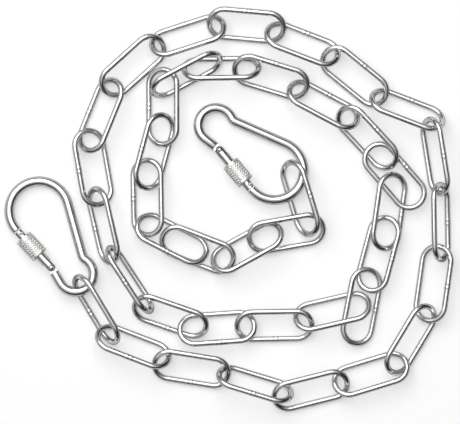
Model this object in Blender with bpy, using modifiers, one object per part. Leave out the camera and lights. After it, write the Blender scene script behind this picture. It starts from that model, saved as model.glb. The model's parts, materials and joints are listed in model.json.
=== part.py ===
# Long-link chain with a screw-sleeve snap hook at each end, laid out in a flat coil.
# Metres, +Z up, the chain lies on the plane z = 0.
import math

import bmesh
import bpy
import numpy as np
from mathutils import Matrix, Vector

for old in list(bpy.data.objects):
    bpy.data.objects.remove(old, do_unlink=True)

# Chain links
LINK_WIRE = 0.003
LINK_INNER_LENGTH = 0.036
LINK_INNER_WIDTH = 0.0126
WELD_BEAD = 0.00022
WELD_LENGTH = 0.0032
CROWN_STEPS = 5

# Hook bodies, all radii to the middle of the bar
HOOK_BAR = 0.005
EYE_RADIUS = 0.0091
BOW_RADIUS = 0.0153
EYE_TO_BOW = 0.038
NECK_RADIUS = 0.004
NECK_STEP = 0.0032
HINGE_REACH = 0.0093

# Hinge tongue, nose tongue and pins
TONGUE_THICKNESS = 0.0018
TONGUE_END = 0.002
NOSE_TONGUE = 0.004
HINGE_PIN = 0.0018
LATCH_PIN = 0.0014
LATCH_SETBACK = 0.0021
LATCH_INSET = 0.0006
SLOT_RUNOUT = 0.0015

# Gate, its spring and plunger, and the lock sleeve
GATE_DIAMETER = 0.005
SPRING_BORE = 0.003
SPRING_BORE_END = 0.0165
SPRING_WIRE = 0.00045
SPRING_TURNS = 6
PLUNGER_LENGTH = 0.0022
PLUNGER_EDGE = 0.00036
SLEEVE_DIAMETER = 0.0095
SLEEVE_LENGTH = 0.0125
SLEEVE_EDGE = 0.0006
SLEEVE_BAND = 0.0012
SLEEVE_RELIEF = 0.0003

# Play between neighbouring pieces, and the least gap where two link wires cross
CLEARANCE = 0.0003
CROSSING_GAP = 0.0005
UPRIGHT = 0.985

# How far each lock sleeve stands back from the end of its gate
OUTER_SLEEVE_BACK = 0.0044
INNER_SLEEVE_BACK = 0.0044

# The lay, from the outer end inwards, one row for each link: the link's middle in link lengths from the
# middle of the coil, its heading in degrees, and how far its high side stands above its low side, counted
# in wire thicknesses. Neighbours lean to opposite sides. One link lies level, under the high sides of both
# its neighbours, and the lean changes over there.
LAY = [
    (-1.89, -1.41, 301, 3.9),
    (-1.36, -1.94, 339, 3.0),
    (-0.53, -2.26, 351, 1.9),
    (0.38, -2.48, 343, 3.6),
    (1.18, -2.57, 14, 2.2),
    (2.04, -2.34, 17, 1.9),
    (2.61, -1.84, 59, 2.9),
    (2.94, -1.04, 82, 1.7),
    (3.04, -0.16, 91, 3.9),
    (2.96, 0.78, 99, 3.8),
    (2.56, 1.45, 159, 3.2),
    (1.81, 1.93, 141, 1.7),
    (1.06, 2.39, 159, 2.7),
    (0.26, 2.66, 175, 1.8),
    (-0.58, 2.51, 198, 2.7),
    (-1.37, 2.08, 222, 1.9),
    (-1.83, 1.37, 248, 2.6),
    (-1.94, 0.62, 280, 1.6),
    (-1.79, -0.21, 283, 3.6),
    (-1.41, -0.98, 303, 4.2),
    (-0.83, -1.51, 341, 2.6),
    (-0.16, -1.68, 4, 1.7),
    (0.66, -1.64, 1, 1.8),
    (1.49, -1.44, 13, 2.5),
    (1.91, -1.37, 79, 1.4),
    (2.15, -0.62, 75, 1.6),
    (2.30, -0.01, 82, 2.3),
    (2.38, 0.50, 131, 0.0),
    (1.99, 1.05, 133, 2.6),
    (1.36, 1.52, 152, 2.9),
    (0.61, 1.92, 163, 1.9),
    (-0.10, 2.04, 181, 3.4),
    (-0.60, 1.95, 208, 3.7),
    (-0.94, 1.49, 270, 1.7),
    (-1.06, 0.85, 255, 2.5),
    (-1.16, 0.19, 271, 1.7),
    (-0.81, -0.40, 333, 2.2),
    (-0.44, -0.55, 339, 1.5),
    (0.27, -0.52, 29, 2.6),
    (0.83, -0.32, 10, 1.4),
    (1.03, 0.18, 107, 3.3),
]
LEVEL_LINK = 28

# Headings of the two hooks, from eye to bow, and where each one's end sits along its link, from the
# link's middle in link lengths
OUTER_HOOK_HEADING = 120
OUTER_HOOK_SEAT = -0.33
INNER_HOOK_HEADING = -38
INNER_HOOK_SEAT = 0.14

# Sizes that follow
CROWN_RADIUS = (LINK_INNER_WIDTH + LINK_WIRE) / 2
SIDE_HALF = (LINK_INNER_LENGTH + LINK_WIRE) / 2 - CROWN_RADIUS
HOOK_RADIUS = HOOK_BAR / 2
GATE_RADIUS = GATE_DIAMETER / 2
SLEEVE_RADIUS = SLEEVE_DIAMETER / 2
SLOT_WIDTH = TONGUE_THICKNESS + 2 * CLEARANCE
SPINE_LEAN = math.asin((BOW_RADIUS - EYE_RADIUS + NECK_STEP) / EYE_TO_BOW)
HINGE = Vector((HINGE_REACH, EYE_RADIUS, 0))
BOW = Vector((EYE_TO_BOW, 0, 0))
HINGE_TO_BOW = BOW - HINGE
NOSE_REACH = math.sqrt(HINGE_TO_BOW.length ** 2 - BOW_RADIUS ** 2)
GATE_SLOPE = math.atan2(HINGE_TO_BOW.y, HINGE_TO_BOW.x) + math.asin(BOW_RADIUS / HINGE_TO_BOW.length)
GATE_END = NOSE_REACH - CLEARANCE
HINGE_SLOT_END = TONGUE_END + SLOT_RUNOUT
PLUNGER_TIP = TONGUE_END + CLEARANCE
SPRING_START = PLUNGER_TIP + PLUNGER_LENGTH + CLEARANCE
GATE_FRAME = Matrix.Translation(HINGE) @ Matrix.Rotation(GATE_SLOPE, 4, "Z")

# Facets
ROUND_SIDES = 16
SLEEVE_SIDES = 24
EYE_STEPS = 11
NECK_STEPS = 3
BOW_STEPS = 14
BALL_STEPS = 4
FINE_STEPS = 24
SPRING_STEPS = 8
SHARP_ANGLE = 35
WELD_DISTANCE = 1e-6
OVERCUT = 0.001
PARALLEL = 1e-15

parts = bpy.data.collections.new("snap_hook_chain")
bpy.context.scene.collection.children.link(parts)


# Materials


def metal(name, colour, roughness):
    material = bpy.data.materials.new(name)
    material.use_nodes = True
    shader = material.node_tree.nodes["Principled BSDF"]
    shader.inputs["Base Color"].default_value = (*colour, 1)
    shader.inputs["Roughness"].default_value = roughness
    shader.inputs["Metallic"].default_value = 1
    return material


LINK_STEEL = metal("polished_link_steel", (0.78, 0.78, 0.79), 0.14)
HOOK_STEEL = metal("polished_hook_steel", (0.74, 0.74, 0.75), 0.18)
GATE_STEEL = metal("turned_gate_steel", (0.70, 0.70, 0.71), 0.24)
PIN_STEEL = metal("drawn_pin_steel", (0.62, 0.62, 0.63), 0.30)
SPRING_STEEL = metal("spring_steel", (0.55, 0.55, 0.56), 0.32)
PLUNGER_STEEL = metal("plunger_steel", (0.60, 0.60, 0.61), 0.30)
SLEEVE_STEEL = metal("knurled_sleeve_steel", (0.60, 0.59, 0.57), 0.42)


# Modelling helpers


def construction(name, data):
    item = bpy.data.objects.new(name, data)
    bpy.context.scene.collection.objects.link(item)
    return item


def finished(item):
    bpy.context.view_layer.update()
    graph = bpy.context.evaluated_depsgraph_get()
    mesh = bpy.data.meshes.new_from_object(item.evaluated_get(graph))
    shape = bmesh.new()
    shape.from_mesh(mesh)
    bmesh.ops.remove_doubles(shape, verts=shape.verts, dist=WELD_DISTANCE)
    bmesh.ops.recalc_face_normals(shape, faces=shape.faces)
    shape.to_mesh(mesh)
    shape.free()
    bpy.data.objects.remove(item, do_unlink=True)
    return mesh


def wire_curve(name, points, diameter, resolution, closed=False, swell=None):
    curve = bpy.data.curves.new(name, "CURVE")
    curve.dimensions = "3D"
    curve.twist_mode = "Z_UP"
    curve.bevel_depth = diameter / 2
    curve.bevel_resolution = resolution
    curve.use_fill_caps = not closed
    spline = curve.splines.new("POLY")
    spline.points.add(len(points) - 1)
    spline.use_cyclic_u = closed
    for index, (knot, point) in enumerate(zip(spline.points, points)):
        knot.co = (*point, 1)
        if swell:
            knot.radius = swell[index]
    return curve


def turned(name, profile, steps):
    shape = bmesh.new()
    corners = [shape.verts.new((radius, 0, height)) for radius, height in profile]
    for upper, lower in zip(corners, corners[1:]):
        shape.edges.new((upper, lower))
    mesh = bpy.data.meshes.new(name)
    shape.to_mesh(mesh)
    shape.free()
    item = construction(name, mesh)
    turn = item.modifiers.new("turn", "SCREW")
    turn.steps = steps
    turn.render_steps = steps
    turn.use_merge_vertices = True
    turn.merge_threshold = WELD_DISTANCE
    mesh = finished(item)
    mesh.transform(Matrix.Rotation(math.pi / 2, 4, "Y"))
    return mesh


def block(size, frame):
    shape = bmesh.new()
    bmesh.ops.create_cube(shape, size=1, matrix=frame @ Matrix.Diagonal((*size, 1)))
    mesh = bpy.data.meshes.new("block")
    shape.to_mesh(mesh)
    shape.free()
    return mesh


def rod(diameter, length, frame):
    shape = bmesh.new()
    bmesh.ops.create_cone(
        shape, cap_ends=True, segments=ROUND_SIDES, radius1=diameter / 2, radius2=diameter / 2,
        depth=length, matrix=frame,
    )
    mesh = bpy.data.meshes.new("rod")
    shape.to_mesh(mesh)
    shape.free()
    return mesh


def cut(mesh, cutters):
    blank = construction("blank", mesh)
    tools = []
    for cutter in cutters:
        tool = construction("cutter", cutter)
        tool.hide_render = True
        tool.display_type = "WIRE"
        step = blank.modifiers.new("cut", "BOOLEAN")
        step.operation = "DIFFERENCE"
        step.solver = "EXACT"
        step.object = tool
        tools.append(tool)
    mesh = finished(blank)
    for tool in tools:
        bpy.data.objects.remove(tool, do_unlink=True)
    return mesh


def along(distance, across=0.0):
    return Matrix.Translation((distance, across, 0))


def arc(centre, radius, start, end, steps):
    angles = np.linspace(math.radians(start), math.radians(end), steps + 1)
    return [centre + radius * Vector((math.cos(angle), math.sin(angle), 0)) for angle in angles]


# The shared shapes


def link_centreline():
    right = arc(Vector((SIDE_HALF, 0, 0)), CROWN_RADIUS, -90, 90, CROWN_STEPS)
    left = arc(Vector((-SIDE_HALF, 0, 0)), CROWN_RADIUS, 90, 270, CROWN_STEPS)
    bead = [Vector((x, -CROWN_RADIUS, 0)) for x in (-WELD_LENGTH / 2, 0, WELD_LENGTH / 2)]
    swell = [1] * (len(right) + len(left)) + [1, 1 + 2 * WELD_BEAD / LINK_WIRE, 1]
    return right + left + bead, swell


def hook_centreline():
    tongue = [HINGE + Vector((HOOK_BAR, 0, 0)), HINGE - Vector((GATE_RADIUS + CLEARANCE, 0, 0))]
    outward = Vector((-math.sin(SPINE_LEAN), -math.cos(SPINE_LEAN), 0))
    inward_run = Vector((-math.cos(SPINE_LEAN), math.sin(SPINE_LEAN), 0))
    reach = EYE_RADIUS - NECK_STEP + NECK_RADIUS
    setback = math.sqrt((EYE_RADIUS + NECK_RADIUS) ** 2 - reach ** 2)
    neck = outward * reach - inward_run * setback
    neck_angle = math.degrees(math.atan2(neck.y, neck.x))
    spine_angle = math.degrees(math.atan2(-outward.y, -outward.x))
    slope = math.degrees(GATE_SLOPE)
    eye = arc(Vector(), EYE_RADIUS, 90, 360 + neck_angle, EYE_STEPS)
    step = arc(neck, NECK_RADIUS, 180 + neck_angle, spine_angle, NECK_STEPS)
    bow = arc(BOW, BOW_RADIUS, spine_angle - 180, 90 + slope, BOW_STEPS)
    nose_run = Vector((math.cos(GATE_SLOPE), math.sin(GATE_SLOPE), 0))
    return tongue + eye + step[1:] + bow + [bow[-1] - nose_run * NOSE_TONGUE]


def hook_body_mesh():
    bar = construction("bar", wire_curve("hook_bar", hook_centreline(), HOOK_BAR, 3))
    hinge_frame = Matrix.Translation(HINGE)
    flat_height = HOOK_BAR
    flat_offset = (TONGUE_THICKNESS + flat_height) / 2
    cutters = []
    for side in (1, -1):
        lift = Matrix.Translation((0, 0, side * flat_offset))
        hinge_length = 2 * HOOK_BAR
        hinge_start = hinge_length / 2 - GATE_RADIUS - CLEARANCE
        cutters.append(block((hinge_length, 2 * HOOK_BAR, flat_height), hinge_frame @ along(hinge_start) @ lift))
        nose_length = NOSE_TONGUE + OVERCUT
        nose_start = NOSE_REACH - nose_length / 2
        cutters.append(block((nose_length, 2 * HOOK_BAR, flat_height), GATE_FRAME @ along(nose_start) @ lift))
    end_length = 2 * HOOK_BAR
    cutters.append(block((end_length, 3 * HOOK_BAR, HOOK_BAR), GATE_FRAME @ along(TONGUE_END + end_length / 2)))
    cutters.append(rod(HINGE_PIN + 2 * CLEARANCE, HOOK_BAR, hinge_frame))
    latch = GATE_FRAME @ along(GATE_END - LATCH_SETBACK, -LATCH_INSET)
    notch = LATCH_PIN + 2 * CLEARANCE
    cutters.append(rod(notch, HOOK_BAR, latch))
    cutters.append(block((notch, HOOK_BAR, HOOK_BAR), latch @ along(0, -HOOK_BAR / 2)))
    return cut(finished(bar), cutters)


def gate_mesh():
    ball = [
        (GATE_RADIUS * math.sin(angle), -GATE_RADIUS * math.cos(angle))
        for angle in np.linspace(math.pi / 2, 0, BALL_STEPS + 1)
    ]
    blank = turned("gate_blank", [(0, GATE_END), (GATE_RADIUS, GATE_END)] + ball, ROUND_SIDES)
    hinge_slot = HINGE_SLOT_END + GATE_RADIUS + OVERCUT
    nose_slot = NOSE_TONGUE + OVERCUT
    cutters = [
        block((hinge_slot, 2 * GATE_DIAMETER, SLOT_WIDTH), along(HINGE_SLOT_END - hinge_slot / 2)),
        block((nose_slot, 2 * GATE_DIAMETER, SLOT_WIDTH), along(GATE_END - NOSE_TONGUE + nose_slot / 2)),
        rod(HINGE_PIN + 2 * CLEARANCE, 2 * GATE_DIAMETER, Matrix.Identity(4)),
        rod(LATCH_PIN + 2 * CLEARANCE, 2 * GATE_DIAMETER, along(GATE_END - LATCH_SETBACK, -LATCH_INSET)),
    ]
    bore_start = TONGUE_END
    bore_length = SPRING_BORE_END - bore_start
    bore_frame = along(bore_start + bore_length / 2) @ Matrix.Rotation(math.pi / 2, 4, "Y")
    cutters.append(rod(SPRING_BORE, bore_length, bore_frame))
    return cut(blank, cutters)


def sleeve_mesh():
    half = SLEEVE_LENGTH / 2
    grip = SLEEVE_RADIUS - SLEEVE_RELIEF
    bore = GATE_RADIUS + CLEARANCE
    band = half - SLEEVE_EDGE - SLEEVE_BAND
    upper = [(bore, half), (SLEEVE_RADIUS - SLEEVE_EDGE, half), (SLEEVE_RADIUS, half - SLEEVE_EDGE),
             (SLEEVE_RADIUS, band), (grip, band - SLEEVE_RELIEF)]
    lower = [(radius, -height) for radius, height in reversed(upper)]
    return turned("sleeve", upper + lower + upper[:1], SLEEVE_SIDES)


def spring_curve():
    radius = SPRING_BORE / 2 - CLEARANCE - SPRING_WIRE / 2
    length = SPRING_BORE_END - CLEARANCE - SPRING_START - SPRING_WIRE
    steps = SPRING_STEPS * SPRING_TURNS
    points = []
    for step in range(steps + 1):
        angle = math.tau * SPRING_TURNS * step / steps
        place = SPRING_START + SPRING_WIRE / 2 + length * step / steps
        points.append(Vector((place, radius * math.cos(angle), radius * math.sin(angle))))
    return wire_curve("gate_spring", points, SPRING_WIRE, 1)


def plunger_mesh():
    radius = SPRING_BORE / 2 - CLEARANCE
    tip = PLUNGER_TIP
    tail = PLUNGER_TIP + PLUNGER_LENGTH
    profile = [(0, tail), (radius, tail), (radius, tip + PLUNGER_EDGE), (radius - PLUNGER_EDGE, tip), (0, tip)]
    return turned("plunger", profile, ROUND_SIDES)


# Laying the chain


def lean(number):
    rise = LAY[number - 1][3] * (LINK_WIRE + CROSSING_GAP)
    if number == LEVEL_LINK:
        return 0.0
    side = 1 if number % 2 else -1
    if number > LEVEL_LINK:
        side = -side
    return side * math.asin(min(rise / (2 * CROWN_RADIUS), UPRIGHT))


def link_frame(number, height=None):
    x, y, heading, _ = LAY[number - 1]
    tip = lean(number)
    if height is None:
        height = LINK_WIRE / 2 + CROWN_RADIUS * abs(math.sin(tip))
    place = Matrix.Translation((x * LINK_INNER_LENGTH, y * LINK_INNER_LENGTH, height))
    return place @ Matrix.Rotation(math.radians(heading), 4, "Z") @ Matrix.Rotation(tip, 4, "X")


def in_world(points, frame):
    return np.array([frame @ point for point in points])


def fine_link(frame):
    points = arc(Vector((SIDE_HALF, 0, 0)), CROWN_RADIUS, -90, 90, FINE_STEPS)
    points += arc(Vector((-SIDE_HALF, 0, 0)), CROWN_RADIUS, 90, 270, FINE_STEPS)
    return in_world(points + points[:1], frame)


def plan_crossings(first, second):
    start, run = first[:-1, None, :], np.diff(first, axis=0)[:, None, :]
    other, step = second[None, :-1, :], np.diff(second, axis=0)[None, :, :]
    offset = other - start
    turn = run[..., 0] * step[..., 1] - run[..., 1] * step[..., 0]
    turn = np.where(np.abs(turn) < PARALLEL, PARALLEL, turn)
    along_first = (offset[..., 0] * step[..., 1] - offset[..., 1] * step[..., 0]) / turn
    along_second = (offset[..., 0] * run[..., 1] - offset[..., 1] * run[..., 0]) / turn
    inside = (along_first >= 0) & (along_first < 1) & (along_second >= 0) & (along_second < 1)
    found = []
    for i, j in zip(*np.nonzero(inside)):
        on_first = first[i] + along_first[i, j] * run[i, 0]
        on_second = second[j] + along_second[i, j] * step[0, j]
        found.append((Vector(on_first), Vector(on_second)))
    return found


def lay_links():
    frames = {number: link_frame(number) for number in range(1, len(LAY) + 1)}
    level = fine_link(link_frame(LEVEL_LINK, 0.0))
    lows = []
    for neighbour in (LEVEL_LINK - 1, LEVEL_LINK + 1):
        crossings = plan_crossings(level, fine_link(frames[neighbour]))
        lows.append(min(point.z for _, point in crossings))
    frames[LEVEL_LINK] = link_frame(LEVEL_LINK, max(lows) + LINK_WIRE + CROSSING_GAP)
    return frames


def plane_frame(origin, heading, supports, flipped):
    first, second, third = supports
    normal = (second - first).cross(third - first).normalized()
    if normal.z < 0:
        normal = -normal
    drop = (normal.x * (origin.x - first.x) + normal.y * (origin.y - first.y)) / normal.z
    ahead = Vector((math.cos(heading), math.sin(heading), 0))
    ahead = (ahead - normal * ahead.dot(normal)).normalized()
    up = -normal if flipped else normal
    frame = Matrix((ahead, up.cross(ahead), up)).transposed().to_4x4()
    frame.translation = (origin.x, origin.y, first.z - drop)
    return frame


def seat_point(frame, seat):
    return frame @ Vector((seat * LINK_INNER_LENGTH, 0, 0))


def hook_over_link(flat, link):
    crossings = plan_crossings(in_world(hook_centreline(), flat), fine_link(link))
    low = min(crossings, key=lambda pair: pair[1].z)[1]
    return low + Vector((0, 0, (LINK_WIRE + HOOK_BAR) / 2 + CROSSING_GAP))


def outer_hook_frame(link):
    heading = math.radians(OUTER_HOOK_HEADING)
    ahead = Vector((math.cos(heading), math.sin(heading), 0))
    origin = seat_point(link, OUTER_HOOK_SEAT) + ahead * EYE_RADIUS
    origin.z = 0
    flat = Matrix.Translation(origin) @ Matrix.Rotation(heading, 4, "Z")
    sleeve = flat @ GATE_FRAME @ Vector((GATE_END - OUTER_SLEEVE_BACK - SLEEVE_LENGTH / 2, 0, 0))
    tip = flat @ (BOW + Vector((BOW_RADIUS, 0, 0)))
    supports = [
        Vector((tip.x, tip.y, HOOK_RADIUS)),
        Vector((sleeve.x, sleeve.y, SLEEVE_RADIUS)),
        hook_over_link(flat, link),
    ]
    return plane_frame(origin, heading, supports, False)


def inner_hook_frame(link):
    heading = math.radians(INNER_HOOK_HEADING)
    ahead = Vector((math.cos(heading), math.sin(heading), 0))
    origin = seat_point(link, INNER_HOOK_SEAT) - ahead * (EYE_TO_BOW + BOW_RADIUS)
    origin.z = 0
    flat = Matrix.Translation(origin) @ Matrix.Rotation(heading, 4, "Z") @ Matrix.Rotation(math.pi, 4, "X")
    eye_side = flat @ Vector((0, -EYE_RADIUS, 0))
    bow_side = flat @ (BOW - Vector((0, BOW_RADIUS, 0)))
    supports = [
        Vector((eye_side.x, eye_side.y, HOOK_RADIUS)),
        Vector((bow_side.x, bow_side.y, HOOK_RADIUS)),
        hook_over_link(flat, link),
    ]
    return plane_frame(origin, heading, supports, True)


# Placing the pieces
world_frames = {}


def empty(name, frame, parent=None):
    pivot = bpy.data.objects.new(name, None)
    pivot.empty_display_size = LINK_WIRE
    parts.objects.link(pivot)
    place(pivot, frame, parent)
    return pivot


def place(item, frame, parent):
    world_frames[item.name] = frame.copy()
    if parent:
        item.parent = parent
        item.matrix_local = world_frames[parent.name].inverted() @ frame
    else:
        item.matrix_local = frame


def piece(name, data, material, frame, parent):
    item = bpy.data.objects.new(name, data)
    parts.objects.link(item)
    place(item, frame, parent)
    if not data.materials:
        data.materials.append(material)
    if isinstance(data, bpy.types.Mesh):
        data.shade_smooth()
        data.set_sharp_from_angle(angle=math.radians(SHARP_ANGLE))
    return item


def hinge_axis(first, second):
    crossings = plan_crossings(first, second)
    middles = [(one + other) / 2 for one, other in crossings]
    start, end = middles[0], max(middles, key=lambda point: (point - middles[0]).length)
    axis = (end - start).normalized()
    across = Vector((0, 0, 1)).cross(axis).normalized()
    frame = Matrix((axis, across, axis.cross(across))).transposed().to_4x4()
    frame.translation = (start + end) / 2
    return frame


def build_hook(prefix, frame, parent, sleeve_back, shapes):
    body = piece(prefix + "_hook_body", shapes["body"], HOOK_STEEL, frame, parent)
    hinge = empty(prefix + "_gate_pivot", frame @ GATE_FRAME, body)
    gate_frame = frame @ GATE_FRAME
    piece(prefix + "_hinge_pin", shapes["hinge_pin"], PIN_STEEL, frame @ Matrix.Translation(HINGE), body)
    piece(prefix + "_gate", shapes["gate"], GATE_STEEL, gate_frame, hinge)
    latch = gate_frame @ along(GATE_END - LATCH_SETBACK, -LATCH_INSET)
    piece(prefix + "_latch_pin", shapes["latch_pin"], PIN_STEEL, latch, hinge)
    piece(prefix + "_gate_spring", shapes["spring"], SPRING_STEEL, gate_frame, hinge)
    piece(prefix + "_plunger", shapes["plunger"], PLUNGER_STEEL, gate_frame, hinge)
    sleeve = gate_frame @ along(GATE_END - sleeve_back - SLEEVE_LENGTH / 2)
    piece(prefix + "_lock_sleeve", shapes["sleeve"], SLEEVE_STEEL, sleeve, hinge)
    return body


def build():
    shapes = {
        "body": hook_body_mesh(),
        "gate": gate_mesh(),
        "hinge_pin": rod(HINGE_PIN, GATE_DIAMETER - CLEARANCE, Matrix.Identity(4)),
        "latch_pin": rod(LATCH_PIN, GATE_DIAMETER - 2 * CLEARANCE, Matrix.Identity(4)),
        "spring": spring_curve(),
        "plunger": plunger_mesh(),
        "sleeve": sleeve_mesh(),
    }
    points, swell = link_centreline()
    link_wire = wire_curve("chain_link", points, LINK_WIRE, 2, True, swell)
    frames = lay_links()
    last = len(LAY)
    root = empty("chain_root", Matrix.Identity(4))
    outer = outer_hook_frame(frames[1])
    carrier = build_hook("outer", outer, root, OUTER_SLEEVE_BACK, shapes)
    behind = in_world(hook_centreline(), outer)
    for number in range(1, last + 1):
        path = fine_link(frames[number])
        carrier = empty("link_%02d_pivot" % number, hinge_axis(behind, path), carrier)
        piece("link_%02d" % number, link_wire, LINK_STEEL, frames[number], carrier)
        behind = path
    inner = inner_hook_frame(frames[last])
    pivot = empty("inner_hook_pivot", hinge_axis(behind, in_world(hook_centreline(), inner)), carrier)
    build_hook("inner", inner, pivot, INNER_SLEEVE_BACK, shapes)
    return root


def centre_on_floor(root):
    bpy.context.view_layer.update()
    graph = bpy.context.evaluated_depsgraph_get()
    corners = []
    for item in parts.objects:
        if item.type != "EMPTY":
            solid = item.evaluated_get(graph)
            corners += [item.matrix_world @ corner.co for corner in solid.to_mesh().vertices]
            solid.to_mesh_clear()
    low, high = np.min(corners, axis=0), np.max(corners, axis=0)
    root.location = (-(low[0] + high[0]) / 2, -(low[1] + high[1]) / 2, -low[2])


centre_on_floor(build())
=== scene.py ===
import json
import math

import bmesh
import bpy
import numpy as np
from mathutils import Matrix, Vector


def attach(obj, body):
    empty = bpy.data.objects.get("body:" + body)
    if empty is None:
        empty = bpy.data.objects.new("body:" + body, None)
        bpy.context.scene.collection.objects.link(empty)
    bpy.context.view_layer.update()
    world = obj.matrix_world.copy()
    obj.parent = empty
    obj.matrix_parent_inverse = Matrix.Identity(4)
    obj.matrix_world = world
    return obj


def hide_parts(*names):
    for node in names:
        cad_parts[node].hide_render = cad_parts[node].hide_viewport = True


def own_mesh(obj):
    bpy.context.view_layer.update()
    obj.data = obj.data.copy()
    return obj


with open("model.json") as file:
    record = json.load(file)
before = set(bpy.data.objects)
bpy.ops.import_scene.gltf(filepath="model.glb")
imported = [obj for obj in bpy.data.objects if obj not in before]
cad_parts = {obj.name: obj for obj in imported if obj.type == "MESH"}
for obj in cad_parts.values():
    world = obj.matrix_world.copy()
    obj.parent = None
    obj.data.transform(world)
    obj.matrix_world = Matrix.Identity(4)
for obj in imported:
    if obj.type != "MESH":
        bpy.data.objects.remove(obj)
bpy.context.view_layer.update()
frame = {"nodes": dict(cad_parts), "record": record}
joints = {joint["name"]: joint for joint in frame["record"]["behaviour"]["joints"]}
print("frame loaded:", len(frame["nodes"]), "nodes")

# Steel: bright metal whose roughness and surface vary a little from place to place

steelLooks = {
    "link_steel": {"colour": (0.60, 0.60, 0.605), "rough": 0.15, "vary": 0.05, "grain": 700, "bump": 0.06},
    "hook_steel": {"colour": (0.60, 0.60, 0.605), "rough": 0.18, "vary": 0.05, "grain": 500, "bump": 0.06},
    "gate_steel": {"colour": (0.56, 0.56, 0.565), "rough": 0.22, "vary": 0.06, "grain": 900, "bump": 0.08},
    "pin_steel": {"colour": (0.50, 0.50, 0.505), "rough": 0.28, "vary": 0.06, "grain": 1500, "bump": 0.10},
    "spring_steel": {"colour": (0.45, 0.45, 0.46), "rough": 0.30, "vary": 0.06, "grain": 1500, "bump": 0.08},
    "plunger_steel": {"colour": (0.50, 0.50, 0.51), "rough": 0.28, "vary": 0.06, "grain": 1500, "bump": 0.08},
    "sleeve_steel": {"colour": (0.82, 0.817, 0.80), "rough": 0.38, "vary": 0.08, "grain": 2500, "bump": 0.15},
}
# The edge tint is painted shade: near black, it darkens the grazing reflections of every steel as dark
# surroundings would
steelFinish = {"paintedEdgeShade": 0.06, "detail": 4, "bumpDepth": 0.0001}


def makeSteel(name, look):
    material = bpy.data.materials.new(name)
    material.use_nodes = True
    nodes = material.node_tree.nodes
    wires = material.node_tree.links
    edgeShade = steelFinish["paintedEdgeShade"]
    shader = nodes["Principled BSDF"]
    shader.inputs["Base Color"].default_value = (*look["colour"], 1)
    shader.inputs["Metallic"].default_value = 1
    shader.inputs["Specular Tint"].default_value = (edgeShade, edgeShade, edgeShade, 1)  # painted shade: the edge tint is near black, so every steel edge goes dark as if it mirrored dark surroundings
    place = nodes.new("ShaderNodeTexCoord")
    noise = nodes.new("ShaderNodeTexNoise")
    noise.inputs["Scale"].default_value = look["grain"]
    noise.inputs["Detail"].default_value = steelFinish["detail"]
    spread = nodes.new("ShaderNodeMapRange")
    spread.inputs["To Min"].default_value = look["rough"] - look["vary"]
    spread.inputs["To Max"].default_value = look["rough"] + look["vary"]
    bump = nodes.new("ShaderNodeBump")
    bump.inputs["Strength"].default_value = look["bump"]
    bump.inputs["Distance"].default_value = steelFinish["bumpDepth"]
    wires.new(place.outputs["Object"], noise.inputs["Vector"])
    wires.new(noise.outputs["Fac"], spread.inputs["Value"])
    wires.new(spread.outputs["Result"], shader.inputs["Roughness"])
    wires.new(noise.outputs["Fac"], bump.inputs["Height"])
    wires.new(bump.outputs["Normal"], shader.inputs["Normal"])
    return material


steels = {name: makeSteel(name, look) for name, look in steelLooks.items()}
print("steels made:", len(steels))


# Shaping tools

shapeRules = {
    "merge": 0.000004, "fineMerge": 0.000002, "sharpDegrees": 38, "roundingSteps": 3, "roundingProfile": 0.5,
    "rodSides": 32,
}


def edgesBetween(edges, corners):
    known = set(corners)
    return [edge for edge in edges if edge.verts[0] in known and edge.verts[1] in known]


def onlyEdges(items):
    return [item for item in items if isinstance(item, bmesh.types.BMEdge)]


def ringAt(shape, centre, direction, radius, sides):
    turn = direction.to_track_quat("Z", "Y").to_matrix().to_4x4()
    made = bmesh.ops.create_circle(
        shape, cap_ends=False, segments=sides, radius=radius, matrix=Matrix.Translation(centre) @ turn,
    )
    return edgesBetween(shape.edges, made["verts"])


def spinOn(shape, ring, centre, degrees, steps):
    made = bmesh.ops.spin(
        shape, geom=ring, cent=centre, axis=(0, 0, 1), angle=math.radians(degrees), steps=steps,
        use_merge=False,
    )
    return onlyEdges(made["geom_last"])


def runOn(shape, ring, offset, grow=1.0):
    made = bmesh.ops.extrude_edge_only(shape, edges=ring)
    corners = [item for item in made["geom"] if isinstance(item, bmesh.types.BMVert)]
    bmesh.ops.translate(shape, vec=offset, verts=corners)
    if grow != 1.0:
        middle = sum((corner.co for corner in corners), Vector()) / len(corners)
        bmesh.ops.scale(shape, vec=(grow, grow, grow), space=Matrix.Translation(-middle), verts=corners)
    return edgesBetween(onlyEdges(made["geom"]), corners)


def closeEnd(shape, ring, rounding):
    face = bmesh.ops.contextual_create(shape, geom=ring)["faces"][0]
    if rounding:
        bmesh.ops.bevel(
            shape, geom=list(face.edges), offset=rounding, segments=shapeRules["roundingSteps"],
            profile=shapeRules["roundingProfile"], affect="EDGES", material=-1,
        )


def bareMesh(shape, name):
    mesh = bpy.data.meshes.new(name)
    shape.to_mesh(mesh)
    shape.free()
    return mesh


def toMesh(shape, name, place):
    bmesh.ops.remove_doubles(shape, verts=shape.verts, dist=shapeRules["merge"])
    bmesh.ops.recalc_face_normals(shape, faces=shape.faces)
    shape.transform(place)
    mesh = bareMesh(shape, name)
    mesh.shade_smooth()
    mesh.set_sharp_from_angle(angle=math.radians(shapeRules["sharpDegrees"]))
    return mesh


def addPiece(name, mesh, steelName, body, node):
    piece = bpy.data.objects.new(name, mesh)
    bpy.context.scene.collection.objects.link(piece)
    mesh.materials.clear()
    mesh.materials.append(steels[steelName])
    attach(piece, body)
    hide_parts(node)
    return piece


def turnedShape(profile, sides):
    shape = bmesh.new()
    corners = [shape.verts.new((place, radius, 0)) for place, radius in profile]
    edges = [shape.edges.new(pair) for pair in zip(corners, corners[1:])]
    bmesh.ops.spin(
        shape, geom=corners + edges, cent=(0, 0, 0), axis=(1, 0, 0), angle=math.tau, steps=sides,
        use_merge=True,
    )
    bmesh.ops.remove_doubles(shape, verts=shape.verts, dist=shapeRules["fineMerge"])
    bmesh.ops.recalc_face_normals(shape, faces=shape.faces)
    return shape


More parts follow.
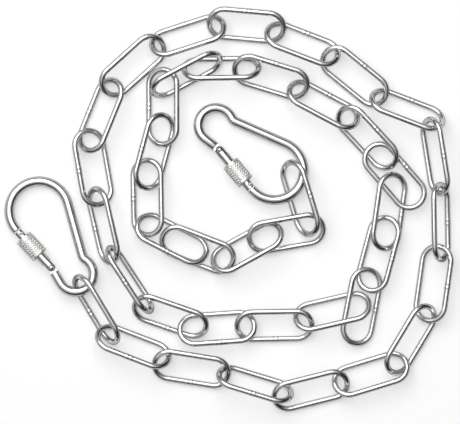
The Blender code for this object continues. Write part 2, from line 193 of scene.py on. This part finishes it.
def blockMesh(size, place):
    shape = bmesh.new()
    bmesh.ops.create_cube(shape, size=1, matrix=place @ Matrix.Diagonal((*size, 1)))
    return bareMesh(shape, "block")


def rodMesh(radius, length, place):
    shape = bmesh.new()
    bmesh.ops.create_cone(
        shape, cap_ends=True, segments=shapeRules["rodSides"], radius1=radius, radius2=radius, depth=length,
        matrix=place,
    )
    return bareMesh(shape, "rod")


def carve(mesh, cutters):
    blank = bpy.data.objects.new("blank", mesh)
    bpy.context.scene.collection.objects.link(blank)
    tools = []
    for cutter in cutters:
        tool = bpy.data.objects.new("tool", cutter)
        bpy.context.scene.collection.objects.link(tool)
        step = blank.modifiers.new("carve", "BOOLEAN")
        step.solver = "EXACT"
        step.object = tool
        tools.append(tool)
    bpy.context.view_layer.update()
    graph = bpy.context.evaluated_depsgraph_get()
    carved = bpy.data.meshes.new_from_object(blank.evaluated_get(graph))
    for item in tools + [blank]:
        bpy.data.objects.remove(item, do_unlink=True)
    shape = bmesh.new()
    shape.from_mesh(carved)
    bpy.data.meshes.remove(carved)
    return shape


def joinShapes(shapes):
    whole = bmesh.new()
    for shape in shapes:
        bmesh.ops.recalc_face_normals(shape, faces=shape.faces)
        mesh = bareMesh(shape, "joined")
        whole.from_mesh(mesh)
        bpy.data.meshes.remove(mesh)
    return whole


def slide(distance, across=0.0):
    return Matrix.Translation((distance, across, 0))


# Chain links: round wire bent to a long loop, with the two small ridges of a butt weld on one side

linkLook = {
    "wire": 0.00147, "crown": 0.0078, "half": 0.01148, "sides": 24, "crownSteps": 22,
    "weldHalf": 0.0026, "weldSteps": 16, "weldFade": 4, "ridge": 0.075, "ridgeAt": 0.40, "ridgeWidth": 0.26,
    "solidBead": 0.00022,
}


def linkShape(look):
    shape = bmesh.new()
    wire, crown, half, weld = look["wire"], look["crown"], look["half"], look["weldHalf"]
    ring = ringAt(shape, Vector((weld, -crown, 0)), Vector((1, 0, 0)), wire, look["sides"])
    ring = runOn(shape, ring, (half - weld, 0, 0))
    ring = spinOn(shape, ring, (half, 0, 0), 180, look["crownSteps"])
    ring = runOn(shape, ring, (-2 * half, 0, 0))
    ring = spinOn(shape, ring, (-half, 0, 0), 180, look["crownSteps"])
    ring = runOn(shape, ring, (half - weld, 0, 0))
    swell = 1.0
    for step in range(1, look["weldSteps"] + 1):
        along = 2 * step / look["weldSteps"] - 1
        ridge = math.exp(-((abs(along) - look["ridgeAt"]) / look["ridgeWidth"]) ** 2)
        target = 1 + look["ridge"] * ridge * (1 - along ** look["weldFade"])
        ring = runOn(shape, ring, (2 * weld / look["weldSteps"], 0, 0), target / swell)
        swell = target
    bmesh.ops.remove_doubles(shape, verts=shape.verts, dist=shapeRules["merge"])
    return shape


# The solid has more corners at its weld, so their mean lies on the weld's side of the middle

def linkPlace(node, look):
    points = np.array([corner.co for corner in node.data.vertices])
    middle = points.mean(axis=0)
    axes = np.linalg.svd(points - middle, full_matrices=False)[2]
    spread = (points - middle) @ axes.T
    offset = (spread.min(axis=0) + spread.max(axis=0)) / 2
    ahead, across = Vector(axes[0]), Vector(axes[1])
    if offset[1] < 0:
        across = -across
        offset[1] = -offset[1]
    offset[1] += look["solidBead"] / 2
    place = Matrix((ahead, across, ahead.cross(across))).transposed().to_4x4()
    lift = Vector(axes[2]) * float(offset[2])
    place.translation = Vector(middle) + ahead * offset[0] + across * offset[1] + lift
    return place


linkBase = linkShape(linkLook)
linkNames = sorted(name for name in frame["nodes"] if name.startswith("link_"))
for linkName in linkNames:
    mesh = toMesh(linkBase.copy(), linkName + "_fine", linkPlace(frame["nodes"][linkName], linkLook))
    addPiece(linkName + "_wire", mesh, "link_steel", linkName, linkName)
linkBase.free()
print("links made:", len(linkNames))


# Hook bodies: one bent bar from the hinge tongue round the eye, up the spine and round the bow to the nose

hookLook = {
    "bar": 0.0025, "eye": 0.0091, "bow": 0.0153, "eyeToBow": 0.038, "neck": 0.004, "neckStep": 0.0032,
    "hinge": (0.0093, 0.0091), "sides": 40, "eyeSteps": 40, "neckSteps": 12, "bowSteps": 48, "edge": 0.0004,
    "tongue": 0.0009, "tongueEnd": 0.0015, "tongueWidth": 0.0034, "tongueRoot": 0.000625, "nose": 0.004,
    "play": 0.0003, "cutThrough": 0.01,
}
gateLook = {
    "radius": 0.0025, "sides": 48, "ballSteps": 10, "slot": 0.0012, "hingeSlotEnd": 0.0035,
    "noseSlot": 0.004, "pinHole": 0.0012, "latchHole": 0.001, "latchBack": 0.0021, "latchInset": 0.0006,
    "boreRadius": 0.0015, "boreStart": 0.002, "boreEnd": 0.0165, "edge": 0.0003, "cutThrough": 0.02,
}
hingePoint = Vector((*hookLook["hinge"], 0))
bowPoint = Vector((hookLook["eyeToBow"], 0, 0))
hingeToBow = bowPoint - hingePoint
noseReach = math.sqrt(hingeToBow.length ** 2 - hookLook["bow"] ** 2)
gateSlope = math.atan2(hingeToBow.y, hingeToBow.x) + math.asin(hookLook["bow"] / hingeToBow.length)
gateLocal = Matrix.Translation(hingePoint) @ Matrix.Rotation(gateSlope, 4, "Z")
gateEnd = noseReach - hookLook["play"]
latchLocal = slide(gateEnd - gateLook["latchBack"], -gateLook["latchInset"])


def hookPlaces(side):
    hinge = joints[side + "_gate_hinge"]
    up = -Vector(hinge["axis"]).normalized()
    ahead = -Vector(joints[side + "_sleeve_screw"]["axis"]).normalized()
    gatePlace = Matrix((ahead, up.cross(ahead), up)).transposed().to_4x4()
    gatePlace.translation = hinge["pos_m"]
    return gatePlace @ gateLocal.inverted(), gatePlace


def hookBar(look):
    lean = math.asin((look["bow"] - look["eye"] + look["neckStep"]) / look["eyeToBow"])
    outward = Vector((-math.sin(lean), -math.cos(lean), 0))
    inwardRun = Vector((-math.cos(lean), math.sin(lean), 0))
    reach = look["eye"] - look["neckStep"] + look["neck"]
    setback = math.sqrt((look["eye"] + look["neck"]) ** 2 - reach ** 2)
    neck = outward * reach - inwardRun * setback
    neckAngle = math.degrees(math.atan2(neck.y, neck.x))
    spineAngle = math.degrees(math.atan2(-outward.y, -outward.x))
    shape = bmesh.new()
    start = hingePoint - Vector((gateLook["radius"] + look["play"], 0, 0))
    first = ringAt(shape, start, Vector((-1, 0, 0)), look["bar"], look["sides"])
    ring = runOn(shape, first, (-start.x, 0, 0))
    ring = spinOn(shape, ring, (0, 0, 0), 270 + neckAngle, look["eyeSteps"])
    ring = spinOn(shape, ring, neck, spineAngle - neckAngle - 180, look["neckSteps"])
    spineStart = neck - outward * look["neck"]
    spineEnd = bowPoint + outward * look["bow"]
    ring = runOn(shape, ring, spineEnd - spineStart)
    sweep = 90 + math.degrees(gateSlope) - (spineAngle - 180)
    ring = spinOn(shape, ring, bowPoint, sweep, look["bowSteps"])
    closeEnd(shape, ring, look["edge"])
    closeEnd(shape, first, look["edge"])
    return shape


def hingeTongue(look):
    length = gateLook["radius"] + look["play"] + look["tongueRoot"] + look["tongueEnd"]
    hinge = Matrix.Translation(hingePoint)
    size = (length, look["tongueWidth"], 2 * look["tongue"])
    blank = blockMesh(size, hinge @ slide(look["tongueEnd"] - length / 2))
    return carve(blank, [rodMesh(gateLook["pinHole"], look["cutThrough"], hinge)])


def noseTongue(look):
    length = look["nose"] + look["tongueRoot"]
    size = (length, look["tongueWidth"], 2 * look["tongue"])
    blank = blockMesh(size, gateLocal @ slide(noseReach + look["tongueRoot"] - length / 2))
    latch = gateLocal @ latchLocal
    notch = rodMesh(gateLook["latchHole"], look["cutThrough"], latch)
    mouthSize = (2 * gateLook["latchHole"], 2 * look["bar"], look["cutThrough"])
    mouth = blockMesh(mouthSize, latch @ slide(0, -look["bar"]))
    return carve(blank, [notch, mouth])


# Gates: turned bars, forked at the hinge, slotted at the nose and bored for the spring


def gateShape(look):
    radius, through = look["radius"], look["cutThrough"]
    ball = [
        (-radius * math.cos(angle), radius * math.sin(angle))
        for angle in np.linspace(0, math.pi / 2, look["ballSteps"] + 1)
    ]
    tail = [(gateEnd - look["edge"], radius), (gateEnd, radius - look["edge"]), (gateEnd, 0)]
    blank = bareMesh(turnedShape(ball + tail, look["sides"]), "gate")
    hingeSlot = look["hingeSlotEnd"] + 2 * radius
    noseSlot = look["noseSlot"] + radius
    bore = look["boreEnd"] - look["boreStart"]
    quarter = Matrix.Rotation(math.pi / 2, 4, "Y")
    cutters = [
        blockMesh((hingeSlot, through, 2 * look["slot"]), slide(look["hingeSlotEnd"] - hingeSlot / 2)),
        blockMesh((noseSlot, through, 2 * look["slot"]), slide(gateEnd - look["noseSlot"] + noseSlot / 2)),
        rodMesh(look["pinHole"], through, Matrix.Identity(4)),
        rodMesh(look["latchHole"], through, latchLocal),
        rodMesh(look["boreRadius"], bore, slide(look["boreStart"] + bore / 2) @ quarter),
    ]
    return carve(blank, cutters)


# Pins: short drawn rods with domed ends

pinLook = {
    "hingeRadius": 0.0009, "hingeHalf": 0.0025, "latchRadius": 0.0007, "latchHalf": 0.0022, "dome": 0.00035,
    "domeSteps": 5, "sides": 28,
}


def pinShape(look, kind):
    radius, half, dome = look[kind + "Radius"], look[kind + "Half"], look["dome"]
    side = [
        (half - dome + dome * math.cos(angle), radius * math.sin(angle))
        for angle in np.linspace(0, math.pi / 2, look["domeSteps"] + 1)
    ]
    other = [(-place, reach) for place, reach in reversed(side)]
    shape = turnedShape(side + other, look["sides"])
    shape.transform(Matrix.Rotation(-math.pi / 2, 4, "Y"))
    return shape


# Lock sleeves: diamond knurling between two plain rims, bored to run on the gate

sleeveLook = {
    "radius": 0.00475, "half": 0.00625, "bore": 0.0028, "edge": 0.0005, "edgeTurn": 0.3, "rim": 0.0004,
    "relief": 0.0003, "sides": 240, "rows": 84, "around": 20, "pitch": 0.0007, "depth": 0.00062,
    "level": 0.35,
}


def sleeveShape(look):
    half, radius, edge = look["half"], look["radius"], look["edge"]
    turn = edge * look["edgeTurn"]
    grip = radius - look["relief"]
    band = half - edge - look["rim"]
    knurl = band - look["relief"]
    ends = [(half, look["bore"] + edge / 2), (half, radius - edge), (half - turn, radius - turn)]
    ends += [(half - edge, radius), (band + look["relief"], radius), (band, grip)]
    rows = [(place, grip) for place in np.linspace(band, -band, look["rows"] + 1)[1:-1]]
    other = [(-place, reach) for place, reach in reversed(ends)]
    inside = [(-half + edge / 2, look["bore"]), (half - edge / 2, look["bore"])]
    shape = turnedShape(ends + rows + other + inside + ends[:1], look["sides"])
    for corner in shape.verts:
        reach = math.hypot(corner.co.y, corner.co.z)
        if abs(corner.co.x) < knurl and reach > grip - look["relief"]:
            angle = math.atan2(corner.co.z, corner.co.y) * look["around"] / math.tau
            along = corner.co.x / look["pitch"] / 2
            ridges = [abs(2 * ((angle + slant * along) % 1) - 1) for slant in (1, -1)]
            height = look["depth"] * (min(ridges) - look["level"])
            fade = min(1, (knurl - abs(corner.co.x)) / look["pitch"])
            grow = (reach + height * fade) / reach
            corner.co.y *= grow
            corner.co.z *= grow
    return shape


def sleeveMiddle(side, gatePlace):
    node = frame["nodes"][side + "_lock_sleeve"]
    places = [(gatePlace.inverted() @ corner.co).x for corner in node.data.vertices]
    return (min(places) + max(places)) / 2


# Inside each gate: a coil spring and the plunger that it pushes

springLook = {
    "wire": 0.000225, "coil": 0.000975, "start": 0.0048, "end": 0.0162, "turns": 6, "stepsPerTurn": 24,
    "sides": 10, "shortest": 0.89,
}
plungerLook = {"tip": 0.0023, "tail": 0.0045, "radius": 0.0012, "edge": 0.00036, "sides": 32}


def springShape(look):
    shape = bmesh.new()
    start = Vector((look["start"] + look["wire"], look["coil"], 0))
    first = ringAt(shape, start, Vector((0, 0, 1)), look["wire"], look["sides"])
    steps = look["turns"] * look["stepsPerTurn"]
    climb = (look["end"] - look["start"] - 2 * look["wire"]) / steps
    made = bmesh.ops.spin(
        shape, geom=first, cent=(0, 0, 0), axis=(1, 0, 0), dvec=(climb, 0, 0),
        angle=math.tau * look["turns"], steps=steps, use_merge=False,
    )
    closeEnd(shape, onlyEdges(made["geom_last"]), 0)
    closeEnd(shape, first, 0)
    return shape


def plungerShape(look):
    tip, tail, radius, edge = look["tip"], look["tail"], look["radius"], look["edge"]
    profile = [(tip, 0), (tip, radius - edge), (tip + edge, radius), (tail, radius), (tail, 0)]
    return turnedShape(profile, look["sides"])


# Both hooks: each row has a piece's name, shape, place and steel, then its body and the solid it replaces

for side in ("outer", "inner"):
    hookPlace, gatePlace = hookPlaces(side)
    bodyShape = joinShapes([hookBar(hookLook), hingeTongue(hookLook), noseTongue(hookLook)])
    hingePin = pinShape(pinLook, "hinge")
    latchPin = pinShape(pinLook, "latch")
    sleevePlace = gatePlace @ slide(sleeveMiddle(side, gatePlace))
    rows = [
        ("_hook_bar", bodyShape, hookPlace, "hook_steel", "_hook", "_hook_body"),
        ("_gate_bar", gateShape(gateLook), gatePlace, "gate_steel", "_gate", "_gate"),
        ("_pivot_pin", hingePin, gatePlace, "pin_steel", "_hook", "_hinge_pin"),
        ("_nose_pin", latchPin, gatePlace @ latchLocal, "pin_steel", "_gate", "_latch_pin"),
        ("_knurled_sleeve", sleeveShape(sleeveLook), sleevePlace, "sleeve_steel", "_sleeve", "_lock_sleeve"),
        ("_coil", springShape(springLook), gatePlace, "spring_steel", "_gate", "_gate_spring"),
        ("_piston", plungerShape(plungerLook), gatePlace, "plunger_steel", "_plunger", "_plunger"),
    ]
    pieces = {}
    for name, shape, place, steelName, body, node in rows:
        mesh = toMesh(shape, side + name, place)
        pieces[name] = addPiece(side + name, mesh, steelName, side + body, side + node)
    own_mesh(pieces["_coil"])
    print(side, "hook made")


# Floor, light and camera

stageLook = {
    "floorSize": 40.0, "floorGlow": 0.45, "floorColour": (0.90, 0.90, 0.90), "floorRoughness": 0.9,
    "zenith": 0.9, "horizon": 0.05, "riseStart": 0.35, "riseEnd": 0.90, "skyTilt": (-0.28, 0.28, 0.92),
    "lampPlace": (-0.3, 0.6, 1.2), "lampSize": 1.3, "lampPower": 17.0,
}
cameraLook = {"centre": (0.0006, -0.0015), "height": 2.2, "width": 0.2378, "sensor": 36.0, "farthest": 20}


def mathNode(nodes, operation):
    node = nodes.new("ShaderNodeMath")
    node.operation = operation
    return node


floorShape = bmesh.new()
bmesh.ops.create_grid(floorShape, x_segments=1, y_segments=1, size=stageLook["floorSize"] / 2)
floorMesh = bareMesh(floorShape, "floor")
floor = bpy.data.objects.new("floor", floorMesh)
bpy.context.scene.collection.objects.link(floor)
floorPaint = bpy.data.materials.new("floor_paint")
floorPaint.use_nodes = True
floorNodes = floorPaint.node_tree.nodes
floorWires = floorPaint.node_tree.links
floorShader = floorNodes["Principled BSDF"]
floorShader.inputs["Base Color"].default_value = (*stageLook["floorColour"], 1)
floorShader.inputs["Roughness"].default_value = stageLook["floorRoughness"]
floorShader.inputs["Specular IOR Level"].default_value = 0.0
floorPath = floorNodes.new("ShaderNodeLightPath")
floorGlow = floorNodes.new("ShaderNodeEmission")
floorGlow.inputs["Strength"].default_value = 1.0
floorBlend = floorNodes.new("ShaderNodeMixShader")
seenOrMirrored = mathNode(floorNodes, "MAXIMUM")
anySight = mathNode(floorNodes, "MAXIMUM")  # seen straight, in metal or through glass
glowShare = mathNode(floorNodes, "MULTIPLY")
glowShare.inputs[1].default_value = stageLook["floorGlow"]
floorWires.new(floorPath.outputs["Is Camera Ray"], seenOrMirrored.inputs[0])
floorWires.new(floorPath.outputs["Is Glossy Ray"], seenOrMirrored.inputs[1])
floorWires.new(seenOrMirrored.outputs["Value"], anySight.inputs[0])
floorWires.new(floorPath.outputs["Is Transmission Ray"], anySight.inputs[1])
floorWires.new(anySight.outputs["Value"], glowShare.inputs[0])
floorWires.new(glowShare.outputs["Value"], floorBlend.inputs["Fac"])
floorWires.new(floorShader.outputs["BSDF"], floorBlend.inputs[1])
floorWires.new(floorGlow.outputs["Emission"], floorBlend.inputs[2])
floorWires.new(floorBlend.outputs["Shader"], floorNodes["Material Output"].inputs["Surface"])
floorMesh.materials.append(floorPaint)

world = bpy.data.worlds.new("studio")
bpy.context.scene.world = world
world.use_nodes = True
worldNodes = world.node_tree.nodes
worldWires = world.node_tree.links
backdrop = worldNodes["Background"]
backdrop.inputs["Color"].default_value = (1, 1, 1, 1)
skyPlace = worldNodes.new("ShaderNodeTexCoord")
skyTilt = worldNodes.new("ShaderNodeVectorMath")
skyTilt.operation = "DOT_PRODUCT"
skyTilt.inputs[1].default_value = stageLook["skyTilt"]
skyRise = worldNodes.new("ShaderNodeMapRange")
skyRise.interpolation_type = "SMOOTHSTEP"
skyRise.inputs["From Min"].default_value = stageLook["riseStart"]
skyRise.inputs["From Max"].default_value = stageLook["riseEnd"]
skyRise.inputs["To Min"].default_value = stageLook["horizon"]
skyRise.inputs["To Max"].default_value = stageLook["zenith"]
worldWires.new(skyPlace.outputs["Generated"], skyTilt.inputs[0])
worldWires.new(skyTilt.outputs["Value"], skyRise.inputs["Value"])
worldWires.new(skyRise.outputs["Result"], backdrop.inputs["Strength"])

lampData = bpy.data.lights.new("softbox", "AREA")
lampData.energy = stageLook["lampPower"]
lampData.size = stageLook["lampSize"]
lamp = bpy.data.objects.new("softbox", lampData)
lamp.location = stageLook["lampPlace"]
lamp.rotation_euler = (-lamp.location).to_track_quat("-Z", "Y").to_euler()
bpy.context.scene.collection.objects.link(lamp)

cameraData = bpy.data.cameras.new("overhead")
cameraData.sensor_width = cameraLook["sensor"]
cameraData.lens = cameraLook["sensor"] * cameraLook["height"] / cameraLook["width"]
cameraData.clip_end = cameraLook["farthest"]
camera = bpy.data.objects.new("overhead", cameraData)
camera.location = (*cameraLook["centre"], cameraLook["height"])
bpy.context.scene.collection.objects.link(camera)
bpy.context.scene.camera = camera
bpy.context.scene.view_settings.view_transform = "Standard"
print("stage made")
